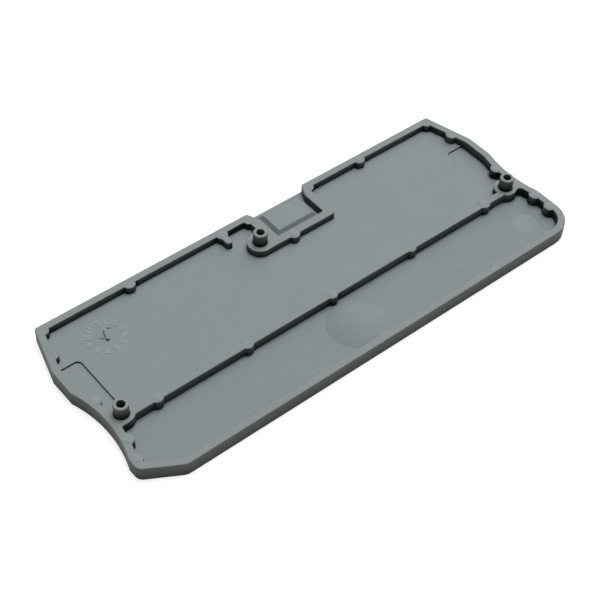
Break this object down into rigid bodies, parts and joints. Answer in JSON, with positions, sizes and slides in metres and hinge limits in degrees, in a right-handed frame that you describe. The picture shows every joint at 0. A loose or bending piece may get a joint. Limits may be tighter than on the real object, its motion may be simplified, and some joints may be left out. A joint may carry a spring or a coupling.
{
  "type": "terminal block end cover",
  "caption": "Thin moulded end cover for a rail-mounted terminal block: rimmed plate with a long rib, hollow locating pins and a marker notch that closes the block's open side.",
  "frame": {"origin": "centre of the outline on the flat outer face", "axes": "+X along the length towards the rounded ear, +Y to the notched edge, +Z out of the open side along the pins"},
  "size_m": [0.072, 0.0288, 0.0041],
  "materials": {
    "grey_polyamide": "matte moulded polyamide with a fine eroded grain"
  },
  "bodies": {
    "root": {"end_cover": "grey_polyamide"}
  },
  "joints": []
}
